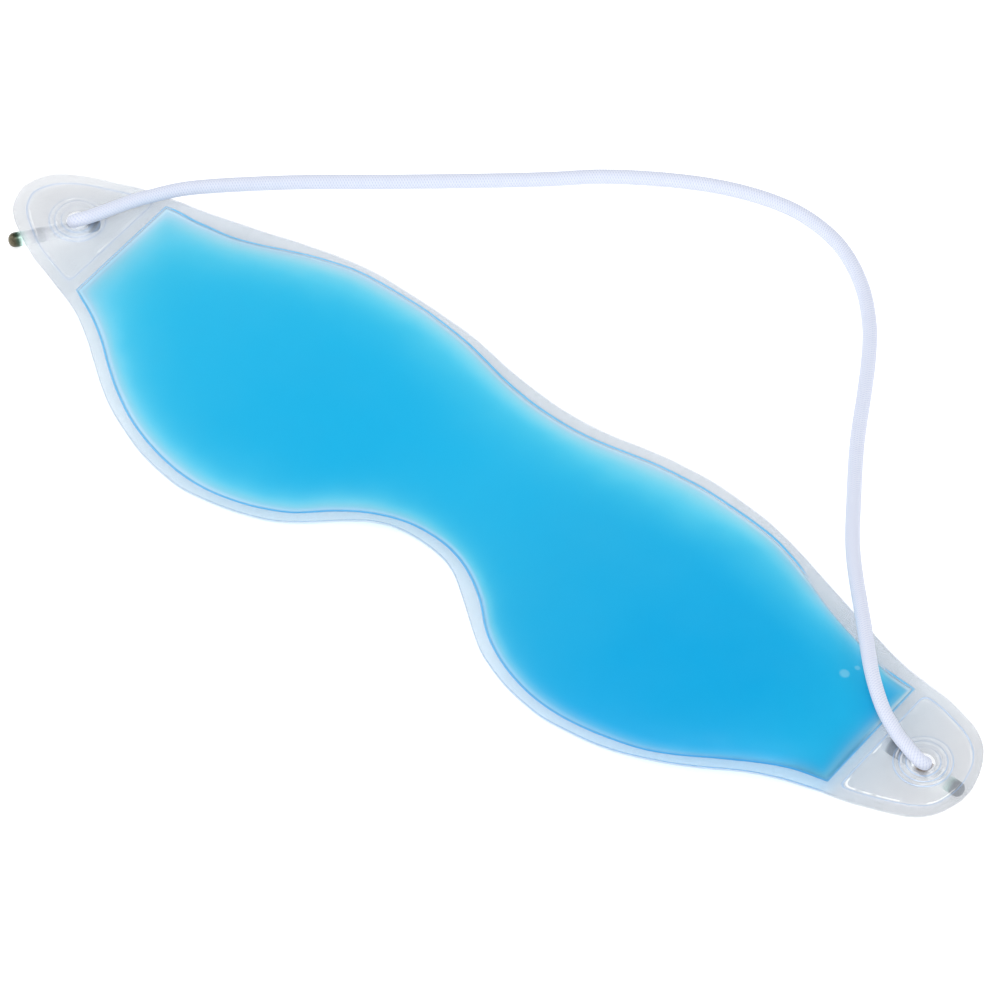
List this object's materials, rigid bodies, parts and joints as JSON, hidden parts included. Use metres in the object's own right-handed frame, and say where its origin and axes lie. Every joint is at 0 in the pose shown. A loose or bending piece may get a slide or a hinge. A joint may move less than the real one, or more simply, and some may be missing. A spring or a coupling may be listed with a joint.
{
  "type": "gel eye mask",
  "caption": "Butterfly-shaped clear vinyl eye mask filled with blue gel, with punched end tabs and a braided elastic head cord held by metal barbs.",
  "frame": {"origin": "on the flat resting face of the back sheet, on the mask's mirror plane, below the nose bridge", "axes": "+X along the mask from the left tab to the right tab, +Y towards the brow edge and the cord loop, +Z out of the front sheet"},
  "size_m": [0.24, 0.1346, 0.01],
  "materials": {
    "clear_vinyl": "clear, glossy soft vinyl film",
    "blue_gel": "translucent sky-blue gel, paler where it is thin",
    "white_braid": "white braided polyester, matt",
    "latex_rubber": "natural rubber thread",
    "plated_steel": "plated steel strip, rolled"
  },
  "bodies": {
    "mask": {"front_sheet": "clear_vinyl", "back_sheet": "clear_vinyl", "gel_fill": "blue_gel"},
    "strap": {"cord_jacket": "white_braid", "rubber_strand_1": "latex_rubber", "rubber_strand_2": "latex_rubber", "rubber_strand_3": "latex_rubber", "rubber_strand_4": "latex_rubber", "rubber_strand_5": "latex_rubber", "rubber_strand_6": "latex_rubber", "rubber_strand_7": "latex_rubber"},
    "left_toggle": {"left_barb": "plated_steel"},
    "right_toggle": {"right_barb": "plated_steel"}
  },
  "joints": [
    {"name": "strap_swing", "type": "hinge", "parent": "mask", "child": "strap", "pos_m": [0, 0.0037, 0.006], "axis": [1, 0, 0], "range_deg": [0, 135], "deforming": ["cord_jacket", "rubber_strand_1", "rubber_strand_2", "rubber_strand_3", "rubber_strand_4", "rubber_strand_5", "rubber_strand_6", "rubber_strand_7"]},
    {"name": "left_barb_spin", "type": "hinge", "parent": "mask", "child": "left_toggle", "pos_m": [-0.1083, 0.0024, 0.002], "axis": [0, 0, 1], "range_deg": [-180, 180]},
    {"name": "right_barb_spin", "type": "hinge", "parent": "mask", "child": "right_toggle", "pos_m": [0.1077, 0.0042, 0.002], "axis": [0, 0, 1], "range_deg": [-180, 180]}
  ]
}
